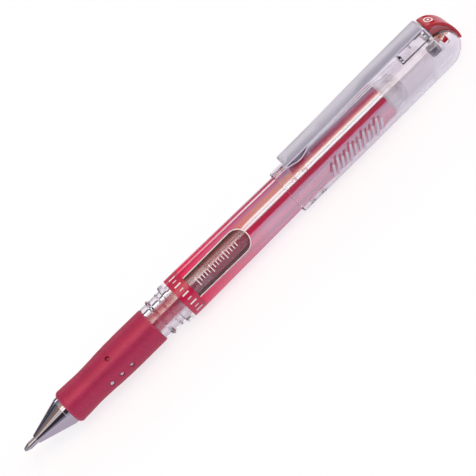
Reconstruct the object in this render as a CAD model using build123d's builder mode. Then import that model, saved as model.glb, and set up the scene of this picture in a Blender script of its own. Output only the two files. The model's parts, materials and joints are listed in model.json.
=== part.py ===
"""A capped gel pen with a rubber grip, lying on a table with its cap posted on the tail.

Every piece is drawn with X running back along the pen's axis from the front of the ball, and with the
cap's clip on the +Z side. At the end each piece is moved so that the middle of the pen's length stands
over the origin and the cap rests on Z = 0. All sizes are millimetres.
"""

from build123d import *

import math
import os

# ---------------------------------------------------------------- clearances
running_gap = 0.04  # radial play between pieces that turn or slide on each other
socket_gap = 0.01  # play of the ball in its socket
loose_gap = 0.25  # radial room round a piece that only lies inside another
seat_gap = 0.05  # between the front section's shoulder and the barrel it screws up to

# ---------------------------------------------------------------- refill
ball_radius = 0.5
ball_stand_out = 0.34  # how much of the ball shows in front of the crimped lip
lip_radius = 0.56
point_length = 1.85  # tapered point, from the front of the ball to the straight shank
shank_radius = 1.0
tip_length = 15.0
tip_bore_radius = 0.4
ink_feed_radius = 0.12  # hole behind the ball
socket_feed_depth = 0.9
nozzle_radius = 1.95  # plastic holder round the metal tip
nozzle_front = 9.4
nozzle_chamfer = 0.3
holder_shoulder = 17.4  # where the holder's flange starts
holder_flange_radius = 2.9
holder_flange_length = 1.6
holder_spigot_length = 6.0
tube_radius = 3.1
tube_wall = 0.5
tube_end_radius = 0.15
tube_back_gap = 4.1  # from the end of the tube to the back of the barrel
tube_play = 0.22  # radial, between the tube and the tail plug
ink_length = 84.0
follower_length = 6.0
follower_gap = 0.02
meniscus_radius = 5.7  # of the hollow in the follower's back
meniscus_depth = 0.5

# ---------------------------------------------------------------- nose cone
nose_front = 4.3
nose_front_radius = 1.35
nose_cone_length = 10.5
nose_back_radius = 4.36
nose_band_radius = 4.42
nose_band_length = 1.2
nose_edge = 0.15  # bevel in front of the band, and the round at the cone's front
nose_spigot_radius = 3.75
nose_spigot_length = 4.6

# ---------------------------------------------------------------- grip and front section
grip_length = 31.9
grip_bore_radius = 4.1
grip_lip_radius = 4.55
grip_front_radius = 5.2
grip_lip_length = 1.7
grip_lip_middle = (0.4, 0.22)  # back from the front edge, and below the front radius
grip_waist_radius = 5.0
grip_waist_place = 0.25  # share of the grip's length
grip_belly_radius = 5.3
grip_belly_place = 0.48
grip_back_radius = 5.43
grip_back_bevel = (0.25, 0.2)
hole_radius = 0.72
hole_pitch = 3.6
hole_row_turn = 67.0  # from the single hole round to each row of three
hole_single_azimuth = 28.5  # from the clip
hole_back_distance = 14.8  # from the grip's back edge to the middle holes
nub_sink = 0.35  # how far a nub stops below the grip's skin
nub_root = 0.3  # how far it reaches into the front section
neck_length = 7.2
neck_radius = 5.3
neck_bead_radius = 5.8
neck_bead_distance = 2.1  # from the grip's back edge to the click bead
neck_bead_length = 1.2
neck_ring_radius = 5.5
neck_ring_distance = 5.4
neck_ring_length = 0.6
ring_ramp = 0.35  # share of a ring's length that each of its flanks takes
ring_root = 0.2
shoulder_length = 1.55
shoulder_radius = 6.2
shoulder_fillet = 0.45
section_bore_radius = tube_radius + loose_gap
spigot_length = 12.0
spigot_chamfer = 0.5

# ---------------------------------------------------------------- barrel
barrel_length = 77.4
barrel_front_radius = 6.22
barrel_back_radius = 5.22
barrel_straight = 5.6  # untapered length at the front
barrel_wall = 1.0
barrel_bore_step = 0.4  # straight bore past each end's fitting
film = 0.08  # thickness of the printed band and the foil
band_start = 1.1  # clear lip in front of the printed band
band_length = 4.4
foil_stop = 0.6  # clear lip behind the foil
window_length = 20.4
window_width = 7.0
window_azimuth = 53.0  # from the clip
tail_spigot_length = 5.0
tail_slope_length = 2.9
tail_neck_radius = 4.3
tail_end_radius = 2.9
tail_dome_length = 2.8
tail_dome_middle = (0.72, 0.36)  # share of the dome's length, and the drop from the neck
tail_wall = 0.9
vent_radius = 0.45

# ---------------------------------------------------------------- cap
cap_mouth_radius = 6.85
cap_back_radius = 6.65
cap_wall = 0.75
cap_tube_length = 55.2
cap_dome_length = 7.2
mouth_chamfer = 0.3
bump_inner_radius = 5.78
bump_length = 1.6
bump_turn = 16.0  # degrees of the bore that each bump takes
bump_distances = (3.5, 7.4)  # from the cap's mouth
bump_azimuths = (45.0, 135.0, 225.0, 315.0)
inner_wall = 0.65
inner_mouth_gap = 0.2
inner_play = 0.1  # inner cap round the nose cone's band, when the pen is closed
inner_tube_length = 11.5
inner_tube_taper = 0.27
inner_cone_length = 2.2
flange_distance = 9.6  # from the inner cap's mouth
flange_length = 1.1
seal_radius = 1.75
seal_bore_radius = 1.2
seal_floor = 0.9
seal_lip = 1.9  # how far the seal reaches along the point
tip_room = 0.1  # in front of the ball, when the pen is closed
post_gap = 0.1  # between the tail and the inner cap's mouth
block_length = 9.6
block_half_width = 2.9
block_front_wall = 0.9
block_side_wall = 0.7
block_floor = 0.6
block_floor_sink = 1.35  # underside of the block's floor below the cap's skin
block_clip_gap = 0.15
block_corner_radius = 0.6
latch_length = 1.5
latch_width = 1.5
latch_height = 3.25  # above the pen's axis
latch_reach = 4.6
latch_distance = 1.9  # from the dome's start
vent_azimuth = 58.5  # from the clip
vent_length = 3.2
vent_width = 2.0
vent_distance = 0.7  # from the dome's start forward to the vent's middle
plug_width = 5.5
plug_height = 9.1
plug_end_skin = 0.7
plug_edge_radius = 0.3
plug_skin = 1.2  # how far the plug's strip stands over the cheeks
plug_drop = 1.5  # how far the strip comes down past the axis
plug_drop_inset = 0.19
plug_wall = 0.9
plug_body_floor = 2.8
plug_gap = 0.05
plug_front_gap = 0.95  # from the end of the cap's tube to the plug

# slanted bars raised on the cap's side
bar_count = 12
bar_distance = 13.0  # from the cap's mouth
bar_pitch = 1.6
bar_width = 0.7
bar_lengths = (3.6, 5.4, 3.6)
bar_slant = 28.0
bar_azimuth = 92.0
bar_relief = 0.2

# ---------------------------------------------------------------- clip
clip_width = 5.5
clip_thickness = 0.45
clip_root_stand = 3.15  # outside of the clip above the cap's skin at its root
clip_middle_stand = 2.85
clip_tip_stand = 2.15
clip_length = 51.6
clip_bend_radius = 1.0
clip_curl_radius = 0.62
clip_nose_length = 7.6
clip_nose_gap = 0.1  # between the nose and the cap
clip_nose_end_gap = 0.08  # between the end of the nose and the underside of the clip
clip_leg_gap = 0.45
clip_foot_height = 3.9
clip_foot_length = 1.5
prong_width = 2.4
prong_length = 0.6
prong_depth = 2.6
prong_distance = 5.6  # forward of the leg

# ---------------------------------------------------------------- where things stand along the pen
grip_front = nose_front + nose_cone_length + nose_band_length
grip_back = grip_front + grip_length
shoulder_front = grip_back + neck_length
shoulder_back = shoulder_front + shoulder_length
barrel_front = shoulder_back + seat_gap
barrel_back = barrel_front + barrel_length
tube_back = barrel_back - tube_back_gap
tube_front = holder_shoulder + holder_flange_length
ink_front = tube_front + holder_spigot_length
ink_back = ink_front + ink_length
tube_bore_radius = tube_radius - tube_wall
film_front = barrel_front + band_start
foil_front = film_front + band_length
foil_back = barrel_back - foil_stop
spigot_back = barrel_front + spigot_length
barrel_bore_radius = barrel_front_radius - barrel_wall
spigot_radius = barrel_bore_radius - loose_gap
tail_neck_front = barrel_back + tail_slope_length
tail_back = tail_neck_front + tail_dome_length
inner_depth = shoulder_front - grip_front + inner_mouth_gap  # from the cap's mouth to the inner cap's
inner_front = tail_neck_front + post_gap
inner_front_to_ball = grip_front - inner_mouth_gap  # when the pen is closed
cap_mouth = inner_front - inner_depth
cap_tube_back = cap_mouth + cap_tube_length
cap_back = cap_tube_back + cap_dome_length
seal_back = inner_front + inner_front_to_ball + tip_room + seal_floor
seal_front = seal_back - seal_floor - tip_room - seal_lip
latch_front = cap_tube_back + latch_distance
bar_front = cap_mouth + bar_distance
clip_root_height = cap_back_radius + clip_root_stand
clip_middle_height = cap_back_radius + clip_middle_stand
clip_tip_height = cap_mouth_radius + clip_tip_stand
block_floor_height = cap_back_radius - block_floor_sink
leg_front = cap_tube_back + clip_leg_gap - clip_thickness / 2
leg_back = leg_front + clip_thickness
plug_front = cap_tube_back + plug_front_gap
clip_front = leg_back - clip_length
block_back = leg_front - clip_leg_gap
block_front = block_back - block_length


def barrel_radius(x):
    """The barrel's outer radius under the film."""
    taper_front = barrel_front + barrel_straight
    share = max(0.0, (x - taper_front) / (barrel_back - taper_front))
    return barrel_front_radius + share * (barrel_back_radius - barrel_front_radius)


def cap_radius(x):
    """The cap's outer radius along its tapered tube."""
    share = (x - cap_mouth) / cap_tube_length
    return cap_mouth_radius + share * (cap_back_radius - cap_mouth_radius)


def nose_radius(x):
    """The nose cone's outer radius along its tapered part."""
    share = (x - nose_front) / nose_cone_length
    return nose_front_radius + share * (nose_back_radius - nose_front_radius)


def turned(*points):
    """Revolves a closed outline of (x, radius) points about the pen's axis, in the active part."""
    with BuildSketch(Plane.XZ) as section:
        with BuildLine():
            Polyline(*points, close=True)
        make_face()
    revolve(section.sketch, axis=Axis.X)


def side_plane(azimuth, x=0.0, radius=0.0):
    """A plane on the pen's side whose normal points away from the axis, with its own x along the pen."""
    turn = math.radians(azimuth)
    outward = (0, -math.sin(turn), math.cos(turn))
    return Plane(origin=(x, radius * outward[1], radius * outward[2]), x_dir=(1, 0, 0), z_dir=outward)


def radial_plane(azimuth):
    """A plane through the pen's axis, with its own x along the pen and its own y away from the axis."""
    turn = math.radians(azimuth)
    return Plane(origin=(0, 0, 0), x_dir=(1, 0, 0), z_dir=(0, -math.cos(turn), -math.sin(turn)))


def slab(x_range, y_half, z_range, mode=Mode.ADD):
    """A block given by its X range, half its width in Y and its Z range, in the active part."""
    (x_start, x_end), (z_start, z_end) = x_range, z_range
    with Locations(((x_start + x_end) / 2, 0, (z_start + z_end) / 2)):
        Box(x_end - x_start, 2 * y_half, z_end - z_start, mode=mode)


# ================================================================ refill
with BuildPart() as ball:
    with Locations((ball_radius, 0, 0)):
        Sphere(ball_radius)

with BuildPart() as writing_tip:
    turned(
        (ball_stand_out, 0),
        (ball_stand_out, lip_radius),
        (point_length, shank_radius),
        (tip_length, shank_radius),
        (tip_length, tip_bore_radius),
        (socket_feed_depth + ball_radius, tip_bore_radius),
        (socket_feed_depth + ball_radius, ink_feed_radius),
        (ball_radius, ink_feed_radius),
        (ball_radius, 0),
    )
    with Locations((ball_radius, 0, 0)):
        Sphere(ball_radius + socket_gap, mode=Mode.SUBTRACT)

with BuildPart() as tip_holder:
    turned(
        (nozzle_front, shank_radius),
        (nozzle_front, nozzle_radius),
        (holder_shoulder, nozzle_radius),
        (holder_shoulder, holder_flange_radius),
        (tube_front, holder_flange_radius),
        (tube_front, tube_bore_radius),
        (ink_front, tube_bore_radius),
        (ink_front, shank_radius),
        (tip_length, shank_radius),
    )
    chamfer(tip_holder.edges().group_by(Axis.X)[0].sort_by(SortBy.RADIUS)[-1], nozzle_chamfer)

with BuildPart() as reservoir_tube:
    turned(
        (tube_front, tube_bore_radius),
        (tube_front, tube_radius),
        (tube_back, tube_radius),
        (tube_back, tube_bore_radius),
    )
    fillet(reservoir_tube.edges().group_by(Axis.X)[-1], tube_end_radius)

with BuildPart() as ink:
    turned((ink_front, 0), (ink_front, tube_bore_radius), (ink_back, tube_bore_radius), (ink_back, 0))

with BuildPart() as ink_follower:
    grease_radius = tube_bore_radius - follower_gap
    turned(
        (ink_back, 0),
        (ink_back, grease_radius),
        (ink_back + follower_length, grease_radius),
        (ink_back + follower_length, 0),
    )
    with Locations((ink_back + follower_length - meniscus_depth + meniscus_radius, 0, 0)):
        Sphere(meniscus_radius, mode=Mode.SUBTRACT)

# ================================================================ front section
with BuildPart() as nose_cone:
    cone_back = nose_front + nose_cone_length
    spigot_end = grip_front + nose_spigot_length
    nozzle_bore = nozzle_radius + loose_gap
    step = nozzle_front - loose_gap
    turned(
        (nose_front, shank_radius + running_gap),
        (nose_front, nose_front_radius),
        (cone_back, nose_back_radius),
        (cone_back + nose_edge, nose_band_radius),
        (grip_front, nose_band_radius),
        (grip_front, nose_spigot_radius),
        (spigot_end, nose_spigot_radius),
        (spigot_end, holder_flange_radius + loose_gap),
        (holder_shoulder - running_gap, holder_flange_radius + loose_gap),
        (holder_shoulder - running_gap, nozzle_bore),
        (step, nozzle_bore),
        (step, shank_radius + running_gap),
    )
    fillet(nose_cone.edges().group_by(Axis.X)[0].sort_by(SortBy.RADIUS)[-1], nose_edge)

grip_holes = []
for turn in (hole_single_azimuth, hole_single_azimuth + 180):
    grip_holes.append((turn, (0,)))
    grip_holes.append((turn - hole_row_turn, (-1, 0, 1)))
    grip_holes.append((turn + hole_row_turn, (-1, 0, 1)))
holes_middle = grip_back - hole_back_distance

with BuildPart() as front_section:
    turned(
        (grip_front, nose_spigot_radius),
        (grip_front, grip_bore_radius),
        (grip_back, grip_bore_radius),
        (grip_back, neck_radius),
        (shoulder_front, neck_radius),
        (shoulder_front, shoulder_radius),
        (shoulder_back, shoulder_radius),
        (shoulder_back, spigot_radius),
        (spigot_back, spigot_radius),
        (spigot_back, section_bore_radius),
        (spigot_end, section_bore_radius),
        (spigot_end, nose_spigot_radius),
    )
    bead_front = grip_back + neck_bead_distance
    ring_front = grip_back + neck_ring_distance
    for start, length, radius in (
        (bead_front, neck_bead_length, neck_bead_radius),
        (ring_front, neck_ring_length, neck_ring_radius),
    ):
        turned(
            (start, neck_radius - ring_root),
            (start, neck_radius),
            (start + ring_ramp * length, radius),
            (start + (1 - ring_ramp) * length, radius),
            (start + length, neck_radius),
            (start + length, neck_radius - ring_root),
        )
    shoulder_edges = front_section.edges().filter_by_position(Axis.X, shoulder_front, shoulder_front)
    fillet(shoulder_edges.sort_by(SortBy.RADIUS)[-1], shoulder_fillet)
    chamfer(front_section.edges().group_by(Axis.X)[-1].sort_by(SortBy.RADIUS)[-1], spigot_chamfer)
    for azimuth, steps in grip_holes:
        for step_along in steps:
            x = holes_middle + step_along * hole_pitch
            with BuildSketch(side_plane(azimuth, x, grip_bore_radius - nub_root)):
                Circle(hole_radius - 2 * running_gap)
            extrude(amount=grip_belly_radius - nub_sink - grip_bore_radius + nub_root)

with BuildPart() as grip_sleeve:
    with BuildSketch(Plane.XZ):
        with BuildLine():
            front = Line((grip_front, grip_bore_radius), (grip_front, grip_lip_radius))
            lip = ThreePointArc(
                front @ 1,
                (grip_front + grip_lip_middle[0], grip_front_radius - grip_lip_middle[1]),
                (grip_front + grip_lip_length, grip_front_radius),
            )
            skin = Spline(
                lip @ 1,
                (grip_front + grip_waist_place * grip_length, grip_waist_radius),
                (grip_front + grip_belly_place * grip_length, grip_belly_radius),
                (grip_back - grip_back_bevel[0], grip_back_radius),
                tangents=[(1, 0), (1, 0)],
            )
            Polyline(
                skin @ 1,
                (grip_back, grip_back_radius - grip_back_bevel[1]),
                (grip_back, grip_bore_radius),
                front @ 0,
            )
        make_face()
    revolve(axis=Axis.X)
    for azimuth, steps in grip_holes:
        for step_along in steps:
            x = holes_middle + step_along * hole_pitch
            with BuildSketch(side_plane(azimuth, x, grip_bore_radius - nub_root)):
                Circle(hole_radius)
            extrude(amount=grip_back_radius, mode=Mode.SUBTRACT)

# ================================================================ barrel
with BuildPart() as barrel:
    back_bore = barrel_back_radius - barrel_wall
    turned(
        (barrel_front, barrel_bore_radius),
        (barrel_front, barrel_radius(barrel_front)),
        (barrel_front + barrel_straight, barrel_front_radius),
        (barrel_back, barrel_back_radius),
        (barrel_back, back_bore),
        (barrel_back - tail_spigot_length - barrel_bore_step, back_bore),
        (spigot_back + barrel_bore_step, barrel_bore_radius),
    )

with BuildPart() as print_band:
    turned(
        (film_front, barrel_front_radius),
        (film_front, barrel_front_radius + film),
        (foil_front, barrel_front_radius + film),
        (foil_front, barrel_front_radius),
    )

with BuildPart() as foil_sleeve:
    straight_back = barrel_front + barrel_straight
    turned(
        (foil_front, barrel_front_radius),
        (foil_front, barrel_front_radius + film),
        (straight_back, barrel_front_radius + film),
        (foil_back, barrel_radius(foil_back) + film),
        (foil_back, barrel_radius(foil_back)),
        (straight_back, barrel_front_radius),
    )
    with BuildSketch(side_plane(window_azimuth)):
        round_centre = foil_front + window_length - window_width / 2
        with Locations((round_centre, 0)):
            Circle(window_width / 2)
        with Locations(((foil_front + round_centre) / 2, 0)):
            Rectangle(round_centre - foil_front, window_width)
    extrude(amount=2 * barrel_front_radius, mode=Mode.SUBTRACT)

with BuildPart() as tail_plug:
    spigot_bore = tube_radius + tube_play
    dome_depth = tail_back - tail_neck_front
    with BuildSketch(Plane.XZ):
        with BuildLine():
            spigot_line = Polyline(
                (tail_back, vent_radius),
                (tail_back - tail_wall, vent_radius),
                (tail_back - tail_wall, tail_end_radius - tail_wall),
                (tail_neck_front, spigot_bore),
                (barrel_back - tail_spigot_length, spigot_bore),
                (barrel_back - tail_spigot_length, back_bore),
                (barrel_back, back_bore),
                (barrel_back, barrel_back_radius),
                (tail_neck_front, tail_neck_radius),
            )
            dome_line = ThreePointArc(
                spigot_line @ 1,
                (tail_neck_front + tail_dome_middle[0] * dome_depth, tail_neck_radius - tail_dome_middle[1]),
                (tail_back, tail_end_radius),
            )
            Line(dome_line @ 1, spigot_line @ 0)
        make_face()
    revolve(axis=Axis.X)

# ================================================================ cap
block_top = clip_root_height - clip_thickness - block_clip_gap
cheek_depth = cap_back - plug_front - plug_end_skin
cheek_height = plug_height - plug_skin
pocket_half_width = block_half_width - block_side_wall
slot_half_width = clip_width / 2 + loose_gap


def spine_face(front, depth, height, floor):
    """The side view of the cap's far end, from a straight front back to a quarter of an ellipse."""
    with BuildLine() as outline:
        low = math.degrees(math.asin(floor / height))
        arc = EllipticalCenterArc((front, 0), depth, height, low, arc_size=90 - low)
        Polyline(arc @ 1, (front, floor), arc @ 0)
    make_face(outline.edges())


with BuildPart() as bars:
    for step_along in range(bar_count):
        x = bar_front + step_along * bar_pitch
        with BuildSketch(side_plane(bar_azimuth, x)):
            Rectangle(bar_width, bar_lengths[step_along % len(bar_lengths)], rotation=-bar_slant)
        extrude(amount=2 * cap_mouth_radius)
    bars_front = bar_front - 2 * bar_pitch
    bars_back = bar_front + (bar_count + 1) * bar_pitch
    with BuildSketch(Plane.XZ):
        with BuildLine():
            Polyline(
                (bars_front, cap_radius(bars_front) - cap_wall / 2),
                (bars_front, cap_radius(bars_front) + bar_relief),
                (bars_back, cap_radius(bars_back) + bar_relief),
                (bars_back, cap_radius(bars_back) - cap_wall / 2),
                close=True,
            )
        make_face()
    revolve(axis=Axis.X, mode=Mode.INTERSECT)

with BuildPart() as cap_shell:
    with BuildSketch(Plane.XZ):
        with BuildLine():
            dome = EllipticalCenterArc((cap_tube_back, 0), cap_dome_length, cap_back_radius, 0, arc_size=90)
            hollow = EllipticalCenterArc(
                (cap_tube_back, 0), cap_dome_length - cap_wall, cap_back_radius - cap_wall, 0, arc_size=90
            )
            Polyline(
                dome @ 1,
                (cap_mouth + mouth_chamfer, cap_mouth_radius),
                (cap_mouth, cap_mouth_radius - mouth_chamfer),
                (cap_mouth, cap_mouth_radius - cap_wall),
                hollow @ 1,
            )
            Line(hollow @ 0, dome @ 0)
        make_face()
    revolve(axis=Axis.X)
    add(bars.part)
    # the block under the clip with its floor inside the tube, and the two cheeks beside the end plug
    slab((block_front, block_back), block_half_width, (block_floor_height, block_top))
    fillet(
        cap_shell.edges().filter_by(Axis.Z).filter_by_position(Axis.X, block_front, block_front),
        block_corner_radius,
    )
    with BuildSketch(Plane.XZ):
        spine_face(plug_front, cheek_depth, cheek_height, plug_body_floor)
    extrude(amount=block_half_width, both=True)
    slab(
        (block_front + block_front_wall, block_back - block_side_wall),
        pocket_half_width,
        (block_floor_height + block_floor, block_top),
        Mode.SUBTRACT,
    )
    # slots for the clip's leg, for the plug's body and for its strip
    slab((block_back, plug_front), slot_half_width, (clip_foot_height, block_top), Mode.SUBTRACT)
    slab((plug_front, cap_back), pocket_half_width, (plug_body_floor - plug_gap, plug_height), Mode.SUBTRACT)
    with BuildSketch(Plane.XZ):
        with BuildLine():
            saddle = EllipticalCenterArc((plug_front, 0), cheek_depth, cheek_height, 0, arc_size=90)
            Polyline(
                saddle @ 1,
                (plug_front, 2 * plug_height),
                (2 * cap_back - plug_front, 2 * plug_height),
                (2 * cap_back - plug_front, -plug_drop - plug_gap),
                (plug_front + cheek_depth, -plug_drop - plug_gap),
                saddle @ 0,
            )
        make_face()
    extrude(amount=plug_width / 2 + plug_gap, both=True, mode=Mode.SUBTRACT)
    # windows for the plug's latches, air vents, and the bumps that click onto the pen
    slab(
        (latch_front - plug_gap, latch_front + latch_length + plug_gap),
        2 * cap_mouth_radius,
        (latch_height - latch_width / 2 - plug_gap, latch_height + latch_width / 2 + plug_gap),
        Mode.SUBTRACT,
    )
    for side in (-1, 1):
        with BuildSketch(side_plane(side * vent_azimuth, cap_tube_back - vent_distance)):
            Rectangle(vent_length, vent_width)
        extrude(amount=2 * cap_mouth_radius, mode=Mode.SUBTRACT)
    for azimuth in bump_azimuths:
        for distance in bump_distances:
            middle = cap_mouth + distance
            bore = cap_radius(middle) - cap_wall
            with BuildSketch(radial_plane(azimuth - bump_turn / 2)):
                with BuildLine():
                    Polyline(
                        (middle - bump_length / 2, bore + cap_wall / 2),
                        (middle - bump_length / 2, bore),
                        (middle - bump_length / 8, bump_inner_radius),
                        (middle + bump_length / 8, bump_inner_radius),
                        (middle + bump_length / 2, bore),
                        (middle + bump_length / 2, bore + cap_wall / 2),
                        close=True,
                    )
                make_face()
            revolve(axis=Axis.X, revolution_arc=bump_turn)

with BuildPart() as inner_cap:
    mouth_outer = nose_band_radius + inner_play + inner_wall
    cup_back = inner_front + inner_tube_length
    seal_seat = cup_back + inner_cone_length
    back_outer = mouth_outer - inner_tube_taper
    flange_front = inner_front + flange_distance
    flange_back = flange_front + flange_length
    turned(
        (inner_front, mouth_outer - inner_wall),
        (inner_front, mouth_outer),
        (cup_back, back_outer),
        (seal_seat, seal_radius + inner_wall),
        (seal_back + inner_wall, seal_radius + inner_wall),
        (seal_back + inner_wall, 0),
        (seal_back, 0),
        (seal_back, seal_radius),
        (seal_seat - inner_wall / 2, seal_radius),
        (cup_back - inner_wall / 2, back_outer - inner_wall),
    )
    turned(
        (flange_front, back_outer - inner_wall / 2),
        (flange_front, cap_radius(flange_front) - cap_wall),
        (flange_back, cap_radius(flange_back) - cap_wall),
        (flange_back, back_outer - inner_wall / 2),
    )
    slab(
        (flange_front - loose_gap, flange_back + loose_gap),
        block_half_width + plug_gap,
        (block_floor_height - plug_gap, cap_mouth_radius),
        Mode.SUBTRACT,
    )

with BuildPart() as tip_seal:
    turned(
        (seal_front, seal_bore_radius),
        (seal_front, seal_radius),
        (seal_back, seal_radius),
        (seal_back, 0),
        (seal_back - seal_floor, 0),
        (seal_back - seal_floor, seal_bore_radius),
    )

with BuildPart() as end_plug:
    with BuildSketch(Plane.XZ):
        with BuildLine():
            skin = EllipticalCenterArc((plug_front, 0), cap_back - plug_front, plug_height, 0, arc_size=90)
            seat_arc = EllipticalCenterArc((plug_front, 0), cheek_depth, cheek_height, 0, arc_size=90)
            Line(skin @ 1, seat_arc @ 1)
            Polyline(
                seat_arc @ 0,
                (plug_front + cheek_depth, -plug_drop),
                (cap_back - plug_drop_inset, -plug_drop),
                skin @ 0,
            )
        make_face()
    extrude(amount=plug_width / 2, both=True)
    fillet(end_plug.edges().filter_by(GeomType.ELLIPSE).sort_by(Axis.X)[-2:], plug_edge_radius)
    with BuildSketch(Plane.XZ):
        spine_face(plug_front, cheek_depth, cheek_height, plug_body_floor)
    extrude(amount=pocket_half_width - plug_gap, both=True)
    with BuildSketch(Plane.XZ):
        hollow_front = plug_front + plug_wall
        spine_face(hollow_front, cheek_depth - 2 * plug_wall, cheek_height - plug_wall, plug_body_floor)
    extrude(amount=pocket_half_width - plug_gap - plug_wall, both=True, mode=Mode.SUBTRACT)
    slab(
        (latch_front, latch_front + latch_length),
        latch_reach,
        (latch_height - latch_width / 2, latch_height + latch_width / 2),
    )

# ================================================================ clip
with BuildPart() as clip:
    half = clip_thickness / 2
    leg_x = leg_front + half
    foot_z = clip_foot_height + half
    lead = 2 * clip_bend_radius
    nose_end_z = clip_tip_height - clip_thickness - clip_nose_end_gap - half
    with BuildSketch(Plane.XZ):
        with BuildLine():
            leg = FilletPolyline(
                (leg_x - clip_foot_length, foot_z),
                (leg_x, foot_z),
                (leg_x, clip_root_height - half),
                (leg_x - lead, clip_root_height - half),
                radius=clip_bend_radius - half,
            )
            top = Spline(
                leg @ 1,
                (leg_x - clip_length / 2, clip_middle_height - half),
                (clip_front + clip_curl_radius, clip_tip_height - half),
                tangents=[(-1, 0), (-1, 0)],
            )
            low = cap_radius(clip_front + clip_nose_length / 2) + clip_nose_gap + half
            bend = ThreePointArc(
                top @ 1,
                (clip_front + half, clip_tip_height - clip_curl_radius),
                (clip_front + clip_curl_radius, clip_tip_height - 2 * clip_curl_radius + half),
            )
            Spline(
                bend @ 1,
                (clip_front + clip_nose_length / 2, low),
                (clip_front + clip_nose_length, nose_end_z),
                tangents=[(1, -0.2), (1, 0.55)],
            )
        trace(line_width=clip_thickness)
    extrude(amount=clip_width / 2, both=True)
    prong_middle = leg_front - prong_distance
    slab(
        (prong_middle - prong_length / 2, prong_middle + prong_length / 2),
        prong_width / 2,
        (clip_root_height - clip_thickness - prong_depth, clip_root_height - half),
    )

# ================================================================ laid down in the row's frame
pieces = {
    "ball": ball,
    "writing_tip": writing_tip,
    "tip_holder": tip_holder,
    "reservoir_tube": reservoir_tube,
    "ink": ink,
    "ink_follower": ink_follower,
    "nose_cone": nose_cone,
    "front_section": front_section,
    "grip_sleeve": grip_sleeve,
    "barrel": barrel,
    "print_band": print_band,
    "foil_sleeve": foil_sleeve,
    "tail_plug": tail_plug,
    "cap_shell": cap_shell,
    "inner_cap": inner_cap,
    "tip_seal": tip_seal,
    "end_plug": end_plug,
    "clip": clip,
}
laid_down = Location((-cap_back / 2, 0, cap_mouth_radius))
os.makedirs("parts", exist_ok=True)
for name, piece in pieces.items():
    placed = piece.part.moved(laid_down)
    placed.label = name
    export_step(placed, f"parts/{name}.step")
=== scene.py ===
"""Finishes and studio for a gel pen whose clear cap is posted on its tail."""

import json
import math

import bmesh
import bpy
from bpy.props import (
    FloatProperty,
    FloatVectorProperty,
    IntProperty,
    PointerProperty,
)
from mathutils import Matrix, Vector

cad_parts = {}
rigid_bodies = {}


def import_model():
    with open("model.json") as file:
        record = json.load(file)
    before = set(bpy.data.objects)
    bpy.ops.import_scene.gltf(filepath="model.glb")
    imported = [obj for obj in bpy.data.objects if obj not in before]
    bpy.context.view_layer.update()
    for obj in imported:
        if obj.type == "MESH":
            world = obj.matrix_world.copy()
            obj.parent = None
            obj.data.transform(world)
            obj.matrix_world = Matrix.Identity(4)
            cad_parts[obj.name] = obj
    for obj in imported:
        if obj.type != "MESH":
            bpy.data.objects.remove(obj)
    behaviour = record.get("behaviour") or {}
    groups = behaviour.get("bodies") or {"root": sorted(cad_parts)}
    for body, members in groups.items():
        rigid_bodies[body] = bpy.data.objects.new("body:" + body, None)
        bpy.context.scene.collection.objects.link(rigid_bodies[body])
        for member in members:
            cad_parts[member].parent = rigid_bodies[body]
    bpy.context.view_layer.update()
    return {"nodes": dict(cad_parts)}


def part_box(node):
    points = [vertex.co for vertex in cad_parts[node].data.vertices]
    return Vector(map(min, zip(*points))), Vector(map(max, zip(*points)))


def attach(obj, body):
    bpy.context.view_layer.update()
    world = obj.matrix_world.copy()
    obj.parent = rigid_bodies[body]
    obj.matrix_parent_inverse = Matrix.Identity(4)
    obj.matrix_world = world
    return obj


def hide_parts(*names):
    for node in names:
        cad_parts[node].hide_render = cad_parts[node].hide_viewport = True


bl_info = {
    "name": "Gel Pen",
    "version": (1, 0, 0),
    "blender": (4, 5, 0),
    "location": "View3D > Sidebar > Gel Pen",
    "description": "Finishes, fine detail and a studio for a clear-capped gel pen with a rubber grip",
    "category": "Object",
}

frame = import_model()
NODES = frame["nodes"]
MM = 0.001
WHITE = (1.0, 1.0, 1.0, 1.0)
# Corners of a mesh that are closer than this are one
MERGE = 0.001 * MM
# The least and the most of a haze or a roughness, as it varies over a surface
UNEVEN = (0.7, 1.3)


def corner(node, side, axis):
    """One number of a solid's box: side 0 is the low end and 1 the high end, axis 0 is X."""
    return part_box(node)[side][axis]


AXIS_HEIGHT = (corner("barrel", 0, 2) + corner("barrel", 1, 2)) / 2
BARREL_FRONT = corner("barrel", 0, 0)
BARREL_BACK = corner("barrel", 1, 0)
BARREL_RADIUS = (corner("barrel", 1, 2) - corner("barrel", 0, 2)) / 2
BARREL_BACK_RADIUS = (corner("tail_plug", 1, 2) - corner("tail_plug", 0, 2)) / 2
FOIL_FRONT = corner("foil_sleeve", 0, 0)
FOIL_RADIUS = (corner("foil_sleeve", 1, 2) - corner("foil_sleeve", 0, 2)) / 2
CAP_MOUTH = corner("cap_shell", 0, 0)
CAP_MOUTH_RADIUS = AXIS_HEIGHT - corner("cap_shell", 0, 2)
# How much the cap's radius shrinks along its length
CAP_TAPER = 0.2 / 55.2
# The share of light that one clear wall doesn't reflect
WALL_PASSES = 0.96
# The length behind the band over which the dense crimson print fades into bare lacquer
PRINT_FADE = 26 * MM


def linear(code):
    """An sRGB hex colour as the linear red, green and blue that Blender works in."""
    parts = [int(code[i : i + 2], 16) / 255 for i in (1, 3, 5)]
    return tuple(c / 12.92 if c <= 0.04045 else ((c + 0.055) / 1.055) ** 2.4 for c in parts)


# ------------------------------------------------------------------------- settings


def colour(name, description, code):
    """A colour property whose default is an sRGB hex value."""
    return FloatVectorProperty(
        name=name,
        description=description,
        subtype="COLOR",
        size=3,
        min=0.0,
        max=1.0,
        default=linear(code),
    )


def length(name, description, default):
    """A length property in metres."""
    return FloatProperty(
        name=name,
        description=description,
        default=default,
        min=0.0,
        unit="LENGTH",
        subtype="DISTANCE",
    )


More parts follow.
